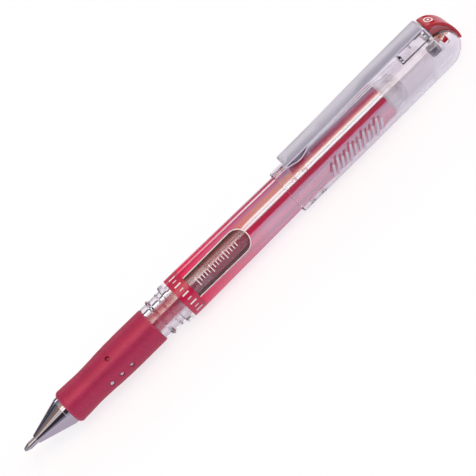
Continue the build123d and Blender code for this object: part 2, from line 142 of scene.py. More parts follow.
class PenColours(bpy.types.PropertyGroup):
    foil: colour("Foil", "Crimson lacquer on the metallised film", "#F80B55")
    band: colour("Band", "Opaque crimson ink of the band at the front of the barrel", "#C80A46")
    grip: colour("Grip", "Rubber of the grip", "#B42458")
    pearl: colour("Pearl", "Mica flecks in the grip's rubber", "#D8607F")
    mica: colour("Mica", "Glitter in the gel ink", "#DCA4C4")
    plug: colour("End plug", "Red of the plug in the cap's end", "#B40722")
    ink: colour("Ink", "Gel ink in the tube", "#D42250")
    grease: colour("Follower", "Clear grease behind the ink", "#F2D9B4")
    tube: colour("Reservoir", "Milky plastic of the ink tube", "#F4E6E4")
    clear: colour("Clear plastic", "Tint of the barrel and the front section", "#FFFDFE")
    cap: colour("Cap plastic", "Tint of the cap and its inner cup", "#FFFEFF")
    steel: colour("Clip", "Plated steel of the clip", "#E4DEE8")
    chrome: colour("Nose cone", "Chromed metal of the nose cone", "#BBB5BF")
    silver: colour("Writing tip", "Turned metal of the writing tip", "#B6B3B8")
    carbide: colour("Ball", "Sintered metal of the writing ball", "#8E8C92")
    seal: colour("Seal", "Soft cup inside the cap", "#7C7690")
    # On the grip's row nubs this pale is painted light: it stands in for the floor reflected in them.
    frost: colour("Frosted faces", "Faces of the cap's raised bars and of the grip's nubs", "#D9CFDC")
    print: colour("Print", "White ink of the marks on the barrel and the plug", "#FBF7F8")
    floor: colour("Floor", "Plain pale floor", "#F6F5F7")
    bounce: colour("Floor bounce", "What the floor gives back to the pen", "#E2DFEC")
    backdrop: colour("Backdrop", "Surround past the edge of the floor", "#F7F7F8")
    foil_gloss: colour("Foil gloss", "Tint of what the foil reflects", "#C4F7FF")
    grip_gloss: colour("Grip gloss", "Tint of what the grip reflects", "#FFCEAA")


class PenSizes(bpy.types.PropertyGroup):
    thread_pitch: length("Thread pitch", "Advance of the screw in one turn", 1.0 * MM)
    thread_ridge: length("Thread ridge", "Radius of the round ridge of the screw thread", 0.17 * MM)
    thread_start: length("Thread start", "From the front of the barrel to the first ridge", 3.2 * MM)
    thread_turns: IntProperty(
        name="Thread turns", description="Turns of the screw thread", default=8, min=1
    )
    tick_pitch: length("Tick pitch", "Between two marks of the ink scale", 1.0 * MM)
    tick_count: IntProperty(name="Ticks", description="Marks of the scale", default=15, min=2)
    tick_width: length("Tick width", "Stroke of the ink scale", 0.26 * MM)
    tick_length: length("Tick length", "Long marks of the ink scale", 2.6 * MM)
    dash_count: IntProperty(name="Dashes", description="Marks round the band", default=9, min=2)
    dash_pitch: length("Dash pitch", "Between two marks round the band", 1.55 * MM)
    dash_width: length("Dash width", "Stroke of the marks round the band", 0.42 * MM)
    dash_length: length("Dash length", "Long marks round the band", 2.1 * MM)
    bar_count: IntProperty(name="Bars", description="Slanted bars raised on the cap", default=12, min=1)
    bar_pitch: length("Bar pitch", "Between two raised bars", 1.6 * MM)
    bar_width: length("Bar width", "Width of a raised bar", 0.7 * MM)
    bar_length: length("Bar length", "Length of the long bars", 5.4 * MM)
    nub_radius: length("Nub radius", "Radius of the grip's nubs", 0.62 * MM)
    nub_crown: length("Nub crown", "How far a nub's top is crowned", 0.22 * MM)
    rim_width: length("Window rim", "Stroke of the line round the window", 0.3 * MM)
    print_depth: length("Print thickness", "How thick the printed marks stand", 0.02 * MM)
    clip_edge: length("Clip edge", "Rounding of the clip's edges", 0.11 * MM)


class PenStudio(bpy.types.PropertyGroup):
    lens: FloatProperty(
        name="Lens",
        description="Focal length of the camera",
        default=180.0,
        min=20.0,
        unit="CAMERA",
    )
    frame_width: length("Frame width", "Width that the camera sees at the pen", 126.6 * MM)
    elevation: FloatProperty(
        name="Elevation",
        description="Height of the camera above the horizon",
        default=math.radians(38.5),
        subtype="ANGLE",
    )
    roll: FloatProperty(
        name="Roll",
        description="Turn of the camera about its own line of sight",
        default=math.radians(44.5),
        subtype="ANGLE",
    )
    light: FloatProperty(name="Light", description="Strength of the studio light", default=1.0, min=0.0)


# ------------------------------------------------------------------------- building blocks


def add(tree, kind, inputs=None, **settings):
    """Adds a node. An input is a constant, a socket, or a node whose first live output feeds it."""
    made = tree.nodes.new(kind)
    for name, value in settings.items():
        setattr(made, name, value)
    for socket, value in (inputs or {}).items():
        if isinstance(value, bpy.types.Node):
            value = next(output for output in value.outputs if output.enabled)
        if isinstance(value, bpy.types.NodeSocket):
            tree.links.new(value, made.inputs[socket])
        else:
            made.inputs[socket].default_value = value
    return made


def texture(tree, kind, size, inputs=None, **settings):
    """A texture fixed to the object. Its features have this size in metres, or these along and across."""
    place = add(tree, "ShaderNodeTexCoord").outputs["Object"]
    if isinstance(size, tuple):
        along, across = size
        drawn = {"Vector": place, "Scale": (1 / along, 1 / across, 1 / across)}
        place, size = add(tree, "ShaderNodeMapping", drawn), 1.0
    return add(tree, kind, {"Vector": place, "Scale": 1 / size, **(inputs or {})}, **settings)


def new_material(name):
    """An empty material and its node tree."""
    material = bpy.data.materials.new(name)
    material.use_nodes = True
    material.node_tree.nodes.clear()
    return material, material.node_tree


def surfaced(material, shader):
    """The material, once this shader is its surface."""
    add(material.node_tree, "ShaderNodeOutputMaterial", {"Surface": shader})
    return material


def rgba(value):
    """A colour with full alpha."""
    return (*value[:3], 1.0)


def scaled(value, factor):
    """A lighter or darker colour."""
    return rgba([min(1.0, c * factor) for c in value[:3]])


def paint(node, material):
    """Gives a carried-over solid its finish."""
    data = NODES[node].data
    data.materials.clear()
    data.materials.append(material)


def finished(obj, name, body, material):
    """Bakes an object's modifiers into a plain mesh, gives it its finish and lets it ride on a body."""
    graph = bpy.context.evaluated_depsgraph_get()
    data = bpy.data.meshes.new_from_object(obj.evaluated_get(graph), depsgraph=graph)
    source = obj.data
    bpy.data.objects.remove(obj)
    if source.users == 0:
        bpy.data.batch_remove([source])
    data.name = name
    data.materials.clear()
    data.materials.append(material)
    piece = bpy.data.objects.new(name, data)
    bpy.context.scene.collection.objects.link(piece)
    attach(piece, body)
    return piece


def geometry_tree(name, inputs):
    """A geometry node tree with named number inputs. Returns it with the sockets that hold them."""
    tree = bpy.data.node_groups.new(name, "GeometryNodeTree")
    tree.interface.new_socket(name="Geometry", in_out="INPUT", socket_type="NodeSocketGeometry")
    for label, default in inputs.items():
        kind = "NodeSocketInt" if isinstance(default, int) else "NodeSocketFloat"
        tree.interface.new_socket(name=label, in_out="INPUT", socket_type=kind)
    tree.interface.new_socket(name="Material", in_out="INPUT", socket_type="NodeSocketMaterial")
    tree.interface.new_socket(name="Geometry", in_out="OUTPUT", socket_type="NodeSocketGeometry")
    return tree, add(tree, "NodeGroupInput").outputs


def grow(name, data, tree, inputs, material):
    """An object on which a geometry node tree runs with these inputs."""
    obj = bpy.data.objects.new(name, data)
    bpy.context.scene.collection.objects.link(obj)
    modifier = obj.modifiers.new(name, "NODES")
    modifier.node_group = tree
    for item in tree.interface.items_tree:
        if item.in_out == "INPUT" and item.name in inputs:
            modifier[item.identifier] = inputs[item.name]
        if item.in_out == "INPUT" and item.name == "Material":
            modifier[item.identifier] = material
    return obj


def closed_tree(tree, source, given):
    """The tree, once it ends in real instances and their finish."""
    real = add(tree, "GeometryNodeRealizeInstances", {"Geometry": source})
    feed = {"Geometry": real, "Material": given["Material"]}
    finish = add(tree, "GeometryNodeSetMaterial", feed)
    add(tree, "NodeGroupOutput", {"Geometry": finish})
    return tree


def wrap_round(tree, source, given):
    """Bends flat geometry round the pen: X stays, Y becomes the way round and Z the height on the skin."""
    place = add(tree, "GeometryNodeInputPosition")
    flat = add(tree, "ShaderNodeSeparateXYZ", {"Vector": place}).outputs
    steps = (
        ("ahead", "SUBTRACT", flat["X"], given["Taper start"]),
        ("past", "MAXIMUM", "ahead", 0.0),
        ("loss", "MULTIPLY", "past", given["Taper"]),
        ("skin", "SUBTRACT", given["Radius"], "loss"),
        ("height", "ADD", "skin", flat["Z"]),
        ("arc", "DIVIDE", flat["Y"], "skin"),
        ("turn", "SUBTRACT", given["Azimuth"], "arc"),
        ("sine", "SINE", "turn"),
        ("cosine", "COSINE", "turn"),
        ("across", "MULTIPLY", "sine", "height"),
        ("far", "MULTIPLY", "across", -1.0),
        ("up", "MULTIPLY_ADD", "cosine", "height", AXIS_HEIGHT),
    )
    made = {}
    for name, operation, *terms in steps:
        named = [made[term] if isinstance(term, str) else term for term in terms]
        made[name] = add(tree, "ShaderNodeMath", dict(enumerate(named)), operation=operation)
    bent = add(tree, "ShaderNodeCombineXYZ", {"X": flat["X"], "Y": made["far"], "Z": made["up"]})
    return add(tree, "GeometryNodeSetPosition", {"Geometry": source, "Position": bent})


# Where the window and the marks on the barrel are centred, as an azimuth from the clip
WINDOW_AZIMUTH = math.radians(53.0)
# What wrap_round takes to follow the barrel
WRAP_INPUTS = {
    "Radius": BARREL_RADIUS,
    "Taper": (BARREL_RADIUS - BARREL_BACK_RADIUS) / (BARREL_BACK - FOIL_FRONT),
    "Taper start": FOIL_FRONT,
    "Azimuth": WINDOW_AZIMUTH,
}


# ------------------------------------------------------------------------- materials


def clear_polystyrene(name, tint):
    """Injection-moulded polystyrene: water clear, with a hard gloss and bent light at its edges."""
    material, tree = new_material(name)
    flow = texture(tree, "ShaderNodeTexNoise", 9 * MM, {"Detail": 2.0})
    ripple = add(tree, "ShaderNodeBump", {"Height": flow, "Strength": 0.05, "Distance": 0.2 * MM})
    glass = {"Base Color": rgba(tint), "Roughness": 0.03, "IOR": 1.5, "Transmission Weight": 1.0}
    plastic = add(tree, "ShaderNodeBsdfPrincipled", {"Normal": ripple, **glass})
    # light that falls on what is behind the wall passes straight through, less what the wall reflects
    passed = add(tree, "ShaderNodeBsdfTransparent", {"Color": scaled(tint, WALL_PASSES)})
    path = add(tree, "ShaderNodeLightPath").outputs
    rays = {0: path["Is Shadow Ray"], 1: path["Is Diffuse Ray"]}
    falling = add(tree, "ShaderNodeMath", rays, operation="MAXIMUM")
    return surfaced(material, add(tree, "ShaderNodeMixShader", {0: falling, 1: plastic, 2: passed}))


def thin_clear(name, tint, haze, haze_colour):
    """Thin clear moulding: seen straight through, with a little haze and a gloss that grows at edges."""
    material, tree = new_material(name)
    cloud = texture(tree, "ShaderNodeTexNoise", 3 * MM, {"Detail": 2.0})
    spread = {"Value": cloud, "To Min": haze * UNEVEN[0], "To Max": haze * UNEVEN[1]}
    share = add(tree, "ShaderNodeMapRange", spread)
    through = add(tree, "ShaderNodeBsdfTransparent", {"Color": rgba(tint)})
    milky = {"Base Color": rgba(haze_colour), "Roughness": 0.3, "IOR": 1.5}
    milk = add(tree, "ShaderNodeBsdfPrincipled", milky)
    wall = add(tree, "ShaderNodeMixShader", {0: share, 1: through, 2: milk})
    facing = add(tree, "ShaderNodeLayerWeight", {"Blend": 0.5}).outputs["Facing"]
    edge = add(tree, "ShaderNodeMath", {0: facing, 1: 5.0}, operation="POWER")
    shine = add(tree, "ShaderNodeMapRange", {"Value": edge, "To Min": 0.045, "To Max": 0.9})
    mirror = {"Base Color": WHITE, "Metallic": 1.0, "Roughness": 0.05}
    gloss = add(tree, "ShaderNodeBsdfPrincipled", mirror)
    return surfaced(material, add(tree, "ShaderNodeMixShader", {0: shine, 1: wall, 2: gloss}))


def frosted(name, colour_value, rough):
    """Moulded polystyrene with a spark-eroded face: milky white, as light scatters at its surface."""
    material, tree = new_material(name)
    # the eroded grain is really 0.02 mm; it is drawn at 0.1 mm
    grain = texture(tree, "ShaderNodeTexNoise", 0.1 * MM, {"Detail": 2.0})
    matt = add(tree, "ShaderNodeBump", {"Height": grain, "Strength": 0.3, "Distance": 0.01 * MM})
    finish = {"Base Color": rgba(colour_value), "Roughness": rough, "IOR": 1.59, "Normal": matt}
    return surfaced(material, add(tree, "ShaderNodeBsdfPrincipled", finish))


def lacquered_foil(colour_value, gloss):
    """Metallised polyester film under crimson lacquer: mirror streaks along it, and a deep red between."""
    material, tree = new_material("metallised polyester film")
    drawn = texture(tree, "ShaderNodeTexNoise", (60 * MM, 1.4 * MM), {"Detail": 3.0})
    lines = add(tree, "ShaderNodeMapRange", {"Value": drawn, "From Min": 0.4, "From Max": 0.6})
    tones = {"Factor": lines, "A": scaled(colour_value, 0.75), "B": scaled(colour_value, 1.1)}
    rough = add(tree, "ShaderNodeMapRange", {"Value": drawn, "To Min": 0.08, "To Max": 0.18})
    # the crimson print is dense at the front and fades into bare lacquer behind the window
    place = {"Vector": add(tree, "ShaderNodeTexCoord").outputs["Object"]}
    fade = {
        "Value": add(tree, "ShaderNodeSeparateXYZ", place),
        "From Min": FOIL_FRONT,
        "From Max": FOIL_FRONT + PRINT_FADE,
        "To Min": 0.07,
        "To Max": 0.5,
    }
    film = {
        "Base Color": add(tree, "ShaderNodeMix", tones, data_type="RGBA"),
        "Roughness": rough,
        "Specular IOR Level": add(tree, "ShaderNodeMapRange", fade),
        "IOR": 5.2,
        "Specular Tint": rgba(gloss),
    }
    return surfaced(material, add(tree, "ShaderNodeBsdfPrincipled", film))


def screen_print(name, colour_value, index, rough):
    """Screen-printed ink: opaque and smooth, with the gloss of its varnish."""
    material, tree = new_material(name)
    cover = texture(tree, "ShaderNodeTexNoise", 0.6 * MM, {"Detail": 2.0})
    tones = {"Factor": cover, "A": scaled(colour_value, 0.93), "B": rgba(colour_value)}
    shade = add(tree, "ShaderNodeMix", tones, data_type="RGBA")
    ink = {"Base Color": shade, "Roughness": rough, "IOR": index}
    return surfaced(material, add(tree, "ShaderNodeBsdfPrincipled", ink))


def pearl_rubber(base, pearl, gloss):
    """Thermoplastic elastomer with mica flecks, from a spark-eroded mould: a satin, grainy sheen."""
    material, tree = new_material("pearl thermoplastic elastomer")
    # the flecks are really 0.05 mm; they are drawn at 0.25 mm so that they show
    flecks = texture(tree, "ShaderNodeTexVoronoi", 0.25 * MM).outputs["Color"]
    limits = {"Value": flecks, "From Min": 0.45, "From Max": 0.95, "To Max": 0.16}
    bright = add(tree, "ShaderNodeMapRange", limits)
    flow = texture(tree, "ShaderNodeTexNoise", 4 * MM, {"Detail": 2.0})
    tones = {"Factor": flow, "A": scaled(base, 0.85), "B": scaled(base, 1.12)}
    body = add(tree, "ShaderNodeMix", tones, data_type="RGBA")
    pearly = {"Factor": bright, "A": body, "B": rgba(pearl)}
    grain = texture(tree, "ShaderNodeTexNoise", 0.18 * MM, {"Detail": 3.0})
    grained = {"Height": grain, "Strength": 0.35, "Distance": 0.03 * MM}
    satin = {
        "Base Color": add(tree, "ShaderNodeMix", pearly, data_type="RGBA"),
        "Normal": add(tree, "ShaderNodeBump", grained),
        "Roughness": 0.42,
        "Metallic": 0.25,
        "Specular IOR Level": 1.0,
        "Specular Tint": rgba(gloss),
    }
    return surfaced(material, add(tree, "ShaderNodeBsdfPrincipled", satin))


def polished_metal(name, colour_value, rough, groove):
    """Turned and polished metal: tight reflections, with the lathe's fine rings when groove isn't zero."""
    material, tree = new_material(name)
    wavy = {"Distortion": 0.6, "Detail": 2.0}
    rings = texture(tree, "ShaderNodeTexWave", 6 * MM, wavy, bands_direction="X").outputs["Fac"]
    wear = texture(tree, "ShaderNodeTexNoise", 1.5 * MM, {"Detail": 3.0})
    limits = {"Value": wear, "To Min": rough * UNEVEN[0], "To Max": rough * UNEVEN[1]}
    turned = {"Height": rings, "Strength": groove, "Distance": 0.01 * MM}
    metal = {
        "Roughness": add(tree, "ShaderNodeMapRange", limits),
        "Normal": add(tree, "ShaderNodeBump", turned),
        "Base Color": rgba(colour_value),
        "Metallic": 1.0,
    }
    return surfaced(material, add(tree, "ShaderNodeBsdfPrincipled", metal))


def satin_plate(colour_value):
    """Spring steel, brushed along its length and satin plated: a soft glow with a fine lengthwise grain."""
    material, tree = new_material("satin plated spring steel")
    # brush lines are really about 0.03 mm apart; they are drawn at 0.15 mm
    brushed = texture(tree, "ShaderNodeTexNoise", (7 * MM, 0.15 * MM), {"Detail": 4.0})
    tones = {"Factor": brushed, "A": scaled(colour_value, 0.93), "B": scaled(colour_value, 1.05)}
    grained = {"Height": brushed, "Strength": 0.25, "Distance": 0.01 * MM}
    plate = {
        "Base Color": add(tree, "ShaderNodeMix", tones, data_type="RGBA"),
        "Normal": add(tree, "ShaderNodeBump", grained),
        "Metallic": 1.0,
        "Roughness": 0.38,
    }
    return surfaced(material, add(tree, "ShaderNodeBsdfPrincipled", plate))


def gloss_moulding(name, colour_value, rough, depth):
    """Pigmented moulded plastic: an even colour with a clean gloss and a little light going into it."""
    material, tree = new_material(name)
    sink = texture(tree, "ShaderNodeTexNoise", 2.5 * MM, {"Detail": 1.0})
    tones = {"Factor": sink, "A": scaled(colour_value, 0.9), "B": rgba(colour_value)}
    dented = {"Height": sink, "Strength": 0.08, "Distance": 0.1 * MM}
    finish = {
        "Base Color": add(tree, "ShaderNodeMix", tones, data_type="RGBA"),
        "Normal": add(tree, "ShaderNodeBump", dented),
        "Roughness": rough,
        "IOR": 1.53,
        "Subsurface Weight": depth,
        "Subsurface Radius": (1.0, 0.3, 0.3),
        "Subsurface Scale": 0.5 * MM,
    }
    return surfaced(material, add(tree, "ShaderNodeBsdfPrincipled", finish))


def gel_ink(colour_value, mica):
    """Gel ink with mica in it: a thick, deep colour with a glitter, and a faint painted glow of its own red
    that stands in for the light reaching it through the walls round it.
    """
    material, tree = new_material("pigmented gel ink")
    # the mica is really 0.04 mm; it is drawn at 0.3 mm
    flakes = texture(tree, "ShaderNodeTexVoronoi", 0.3 * MM).outputs["Color"]
    limits = {"Value": flakes, "From Min": 0.75, "To Max": 0.45}
    tones = {"Factor": add(tree, "ShaderNodeMapRange", limits), "A": rgba(colour_value), "B": rgba(mica)}
    gel = {
        "Base Color": add(tree, "ShaderNodeMix", tones, data_type="RGBA"),
        "Roughness": 0.2,
        "IOR": 2.3,
        # painted light: the ink glows though it is no lamp, to brighten it where the walls round it let
        # little light in
        "Emission Color": rgba(colour_value),
        "Emission Strength": 0.12,
    }
    return surfaced(material, add(tree, "ShaderNodeBsdfPrincipled", gel))


# ------------------------------------------------------------------------- pieces


class PEN_OT_writing_point(bpy.types.Operator):
    """Finish the ball and the turned metal tip that holds it"""

    bl_idname = "pen.writing_point"
    bl_label = "Writing Point"

    def execute(self, context):
        colours = context.scene.pen_colours
        paint("ball", polished_metal("sintered tungsten carbide", colours.carbide, 0.18, 0.0))
        paint("writing_tip", polished_metal("turned nickel silver", colours.silver, 0.2, 0.6))
        return {"FINISHED"}


class PEN_OT_nose_cone(bpy.types.Operator):
    """Finish the chromed cone at the front"""

    bl_idname = "pen.nose_cone"
    bl_label = "Nose Cone"

    def execute(self, context):
        colours = context.scene.pen_colours
        paint("nose_cone", polished_metal("chromed brass", colours.chrome, 0.07, 0.0))
        return {"FINISHED"}


def nub_tree():
    """A shallow crown on each point, facing away from the pen's axis."""
    tree, given = geometry_tree("Grip nubs", {"Radius": 0.0, "Crown": 0.0})
    ball = {"Segments": 20, "Rings": 10, "Radius": 1.0}
    place = add(tree, "GeometryNodeInputPosition")
    parts = add(tree, "ShaderNodeSeparateXYZ", {"Vector": place}).outputs
    above = add(tree, "ShaderNodeMath", {0: parts["Z"], 1: AXIS_HEIGHT}, operation="SUBTRACT")
    outward = {"Vector": add(tree, "ShaderNodeCombineXYZ", {"Y": parts["Y"], "Z": above})}
    size = {"X": given["Radius"], "Y": given["Radius"], "Z": given["Crown"]}
    feed = {
        "Points": given["Geometry"],
        "Instance": add(tree, "GeometryNodeMeshUVSphere", ball),
        "Rotation": add(tree, "FunctionNodeAlignRotationToVector", outward, axis="Z"),
        "Scale": add(tree, "ShaderNodeCombineXYZ", size),
    }
    return closed_tree(tree, add(tree, "GeometryNodeInstanceOnPoints", feed), given)


# Where the grip's nubs are: azimuth from the clip in degrees, and how many stand in the row
NUB_SINGLES = ((28.5, 1), (208.5, 1))
NUB_ROWS = ((95.5, 3), (-38.5, 3), (141.5, 3), (275.5, 3))
# The middle of every row, the step along a row, and how far a nub's base is from the pen's axis
NUB_MIDDLE = corner("grip_sleeve", 1, 0) - 14.8 * MM
NUB_STEP = 3.6 * MM
NUB_REACH = 4.95 * MM


class PEN_OT_nubs(bpy.types.Operator):
    """Crown the nubs of the front section that show in the grip's holes"""

    bl_idname = "pen.nubs"
    bl_label = "Grip Nubs"

    def execute(self, context):
        colours = context.scene.pen_colours
        # The rows and the singles are one kind of nub in a lit and a shaded copy. The rows are painted
        # pale, a painted reflection of the floor below them. The singles are painted dark with half the
        # ink's red, as painted shade.
        pale = frosted("nub painted pale as lit", colours.frost, 0.12)
        dark = frosted("nub painted dark as shaded", scaled(colours.ink, 0.5), 0.12)
        self.crown(context, "nub_rows", NUB_ROWS, pale)
        self.crown(context, "nub_singles", NUB_SINGLES, dark)
        return {"FINISHED"}

    def crown(self, context, name, rows, material):
        """Places crowns on these rows of nubs."""
        sizes = context.scene.pen_sizes
        points = []
        for azimuth, count in rows:
            turn = math.radians(azimuth)
            across, up = -NUB_REACH * math.sin(turn), AXIS_HEIGHT + NUB_REACH * math.cos(turn)
            for i in range(count):
                points.append((NUB_MIDDLE + (i - (count - 1) / 2) * NUB_STEP, across, up))
        data = bpy.data.meshes.new(name)
        data.from_pydata(points, [], [])
        inputs = {"Radius": sizes.nub_radius, "Crown": sizes.nub_crown}
        crowns = grow(name, data, nub_tree(), inputs, material)
        finished(crowns, name, "front", material)


class PEN_OT_grip(bpy.types.Operator):
    """Finish the rubber grip"""

    bl_idname = "pen.grip"
    bl_label = "Grip"

    def execute(self, context):
        colours = context.scene.pen_colours
        paint("grip_sleeve", pearl_rubber(colours.grip, colours.pearl, colours.grip_gloss))
        return {"FINISHED"}


# How far the spigot's skin lies inside the barrel's
SPIGOT_STEP = 1.25 * MM


def thread_tree():
    """A round ridge that winds along the pen's axis."""
    inputs = {"Start": 0.0, "Radius": 0.0, "Pitch": 0.0, "Ridge": 0.0, "Turns": 1}
    tree, given = geometry_tree("Screw thread", inputs)
    reach = {0: given["Pitch"], 1: given["Turns"]}
    winding = {
        "Resolution": 40,
        "Rotations": given["Turns"],
        "Start Radius": given["Radius"],
        "End Radius": given["Radius"],
        "Height": add(tree, "ShaderNodeMath", reach, operation="MULTIPLY"),
        "Reverse": True,
    }
    section = {"Resolution": 8, "Radius": given["Ridge"]}
    bar = {
        "Curve": add(tree, "GeometryNodeCurveSpiral", winding),
        "Profile Curve": add(tree, "GeometryNodeCurvePrimitiveCircle", section),
        "Fill Caps": True,
    }
    start = {"X": given["Start"], "Z": AXIS_HEIGHT}
    laid = {
        "Geometry": add(tree, "GeometryNodeCurveToMesh", bar),
        "Translation": add(tree, "ShaderNodeCombineXYZ", start),
        "Rotation": (0.0, math.pi / 2, 0.0),
    }
    return closed_tree(tree, add(tree, "GeometryNodeTransform", laid), given)


class PEN_OT_front_section(bpy.types.Operator):
    """Finish the clear front section and wind the screw thread on its spigot"""

    bl_idname = "pen.front_section"
    bl_label = "Front Section"

    def execute(self, context):
        colours, sizes = context.scene.pen_colours, context.scene.pen_sizes
        plastic = clear_polystyrene("clear polystyrene", colours.clear)
        paint("front_section", plastic)
        thread = grow(
            "thread",
            bpy.data.meshes.new("thread"),
            thread_tree(),
            {
                "Start": BARREL_FRONT + sizes.thread_start,
                "Radius": BARREL_RADIUS - SPIGOT_STEP,
                "Pitch": sizes.thread_pitch,
                "Ridge": sizes.thread_ridge,
                "Turns": sizes.thread_turns,
            },
            plastic,
        )
        finished(thread, "screw_thread", "front", plastic)
        return {"FINISHED"}


class PEN_OT_refill(bpy.types.Operator):
    """Finish the ink tube, the ink, the follower behind it and the holder of the tip"""

    bl_idname = "pen.refill"
    bl_label = "Refill"

    def execute(self, context):
        colours = context.scene.pen_colours
        paint("reservoir_tube", thin_clear("extruded polypropylene", WHITE, 0.12, colours.mica))
        paint("ink", gel_ink(colours.ink, colours.mica))
        paint("ink_follower", thin_clear("follower grease", colours.grease, 0.25, colours.grease))
        paint("tip_holder", gloss_moulding("moulded polyacetal", colours.tube, 0.4, 0.2))
        return {"FINISHED"}


class PEN_OT_barrel(bpy.types.Operator):
    """Finish the clear barrel, its printed band and its foil"""

    bl_idname = "pen.barrel"
    bl_label = "Barrel"

    def execute(self, context):
        colours = context.scene.pen_colours
        paint("barrel", thin_clear("clear polystyrene barrel", colours.clear, 0.02, colours.print))
        paint("print_band", screen_print("crimson screen print", colours.band, 1.7, 0.25))
        paint("foil_sleeve", lacquered_foil(colours.foil, colours.foil_gloss))
        paint("tail_plug", thin_clear("clear polystyrene plug", colours.cap, 0.15, colours.print))
        return {"FINISHED"}


def stroke_tree():
    """Long and short strokes in a row, bent round the pen. One in every few is long."""
    inputs = {
        "Count": 2,
        "Every": 1,
        "First": 0,
        "Start along": 0.0,
        "Start round": 0.0,
        "Step along": 0.0,
        "Step round": 0.0,
        "Along": 0.0,
        "Round": 0.0,
        "Depth": 0.0,
        "Short": 1.0,
        "Lean": 0.0,
    }
    tree, given = geometry_tree("Row of strokes", {**inputs, **WRAP_INPUTS})
    start = {"X": given["Start along"], "Y": given["Start round"]}
    step = {"X": given["Step along"], "Y": given["Step round"]}
    line = {
        "Count": given["Count"],
        "Start Location": add(tree, "ShaderNodeCombineXYZ", start),
        "Offset": add(tree, "ShaderNodeCombineXYZ", step),
    }
    box = {"X": given["Along"], "Y": given["Round"], "Z": given["Depth"]}
    cube = {"Size": add(tree, "ShaderNodeCombineXYZ", box), "Vertices X": 5, "Vertices Y": 7}
    index = add(tree, "GeometryNodeInputIndex")
    counted = add(tree, "ShaderNodeMath", {0: index, 1: given["First"]}, operation="ADD")
    over = add(tree, "ShaderNodeMath", {0: counted, 1: given["Every"]}, operation="MODULO")
    short = add(tree, "ShaderNodeMath", {0: over, 1: 0.5}, operation="GREATER_THAN")
    limits = {"Value": short, "To Min": 1.0, "To Max": given["Short"]}
    reach = add(tree, "ShaderNodeMapRange", limits)
    # a short upright stroke loses only length; a lying one is as much thinner as it is shorter
    lies = {0: given["Along"], 1: given["Round"]}
    ways = {
        "Factor": add(tree, "ShaderNodeMath", lies, operation="GREATER_THAN"),
        "A": add(tree, "ShaderNodeCombineXYZ", {"X": 1.0, "Y": reach, "Z": 1.0}),
        "B": add(tree, "ShaderNodeCombineXYZ", {"X": reach, "Y": reach, "Z": 1.0}),
    }
    feed = {
        "Points": add(tree, "GeometryNodeMeshLine", line, mode="OFFSET"),
        "Instance": add(tree, "GeometryNodeMeshCube", cube),
        "Rotation": add(tree, "ShaderNodeCombineXYZ", {"Z": given["Lean"]}),
        "Scale": add(tree, "ShaderNodeMix", ways, data_type="VECTOR"),
    }
    strokes = add(tree, "GeometryNodeInstanceOnPoints", feed)
    real = add(tree, "GeometryNodeRealizeInstances", {"Geometry": strokes})
    return closed_tree(tree, wrap_round(tree, lifted(tree, real, given["Depth"]), given), given)


def lifted(tree, source, depth):
    """Geometry raised by its depth."""
    rise = add(tree, "ShaderNodeCombineXYZ", {"Z": depth})
    return add(tree, "GeometryNodeTransform", {"Geometry": source, "Translation": rise})


def print_strokes(name, inputs, body, material):
    """Prints a row of strokes on a piece that rides on this body."""
    row = grow(name, bpy.data.meshes.new(name), stroke_tree(), {**WRAP_INPUTS, **inputs}, material)
    return finished(row, name, body, material)


def line_tree():
    """A flat stroke along a path, bent round the barrel."""
    tree, given = geometry_tree("Printed line", {"Width": 0.0, "Depth": 0.0, **WRAP_INPUTS})
    strip = {"Width": given["Width"], "Height": given["Depth"]}
    path = {
        "Curve": given["Geometry"],
        "Profile Curve": add(tree, "GeometryNodeCurvePrimitiveQuadrilateral", strip, mode="RECTANGLE"),
        "Fill Caps": True,
    }
    stroke = lifted(tree, add(tree, "GeometryNodeCurveToMesh", path), given["Depth"])
    return closed_tree(tree, wrap_round(tree, stroke, given), given)


def flat_path(name, points):
    """A curve through points (along, round) laid flat, ready to be bent round the barrel."""
    data = bpy.data.curves.new(name, "CURVE")
    data.dimensions = "3D"
    spline = data.splines.new("POLY")
    spline.points.add(len(points) - 1)
    for point, (along, across) in zip(spline.points, points):
        point.co = (along, across, 0.0, 1.0)
    return data


# The window in the foil: its length, half its width, how much rounder its end is than a half circle,
# and where the scale starts in it
WINDOW_LENGTH = 20.4 * MM
WINDOW_HALF = 3.5 * MM
WINDOW_END = 1.06
SCALE_START = 2.4 * MM


